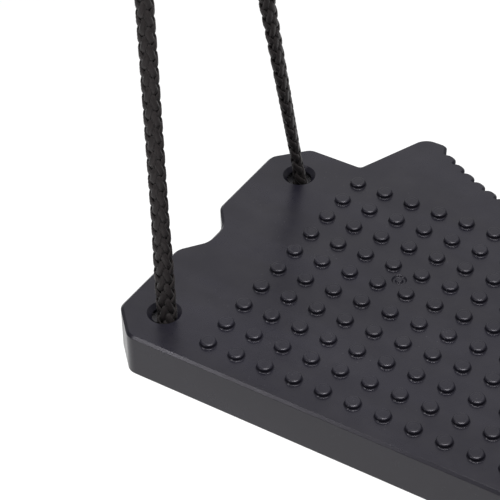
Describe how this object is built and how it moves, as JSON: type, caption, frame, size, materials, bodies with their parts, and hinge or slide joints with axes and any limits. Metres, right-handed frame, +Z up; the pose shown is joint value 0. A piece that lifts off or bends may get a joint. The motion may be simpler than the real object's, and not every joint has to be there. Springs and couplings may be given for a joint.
{
  "type": "platform swing",
  "caption": "Studded moulded swing platform with notched ends and a toothed, curved rear edge, hung on rope bridles with thimbles and spring snap hooks.",
  "frame": {"origin": "middle of the platform's underside, halfway between its front edge and the tips of its rear horns", "axes": "+X to the platform's right end, +Y to the rear, toothed edge, +Z up the ropes"},
  "size_m": [0.5076, 0.2542, 0.5902],
  "materials": {
    "moulded_plastic": "charcoal moulded plastic, satin, faint flow marks",
    "rope": "black hollow-braid polypropylene, slight sheen",
    "galvanised_steel": "zinc plated, satin",
    "bright_steel": "bright drawn steel"
  },
  "bodies": {
    "hangers": {"left_hook_body": "galvanised_steel", "left_rivet": "bright_steel", "right_hook_body": "galvanised_steel", "right_rivet": "bright_steel"},
    "left_gate": {"left_gate": "galvanised_steel", "left_gate_spring": "bright_steel"},
    "right_gate": {"right_gate": "galvanised_steel", "right_gate_spring": "bright_steel"},
    "swing": {"platform": "moulded_plastic", "left_rope": "rope", "left_front_knot": "rope", "left_rear_knot": "rope", "left_thimble": "galvanised_steel", "right_rope": "rope", "right_front_knot": "rope", "right_rear_knot": "rope", "right_thimble": "galvanised_steel"}
  },
  "joints": [
    {"name": "swing_to_and_fro", "type": "hinge", "parent": "hangers", "child": "swing", "pos_m": [0, -0.0129, 0.51459], "axis": [1, 0, 0], "range_deg": [-60, 60]},
    {"name": "left_gate_open", "type": "hinge", "parent": "hangers", "child": "left_gate", "pos_m": [-0.2481, -0.0129, 0.53638], "axis": [0, 1, 0], "range_deg": [0, 22], "stiffness_Nm_per_rad": 0.2, "springref_deg": -22.92},
    {"name": "right_gate_open", "type": "hinge", "parent": "hangers", "child": "right_gate", "pos_m": [0.2481, -0.0129, 0.53638], "axis": [0, -1, 0], "range_deg": [0, 22], "stiffness_Nm_per_rad": 0.2, "springref_deg": -22.92}
  ]
}
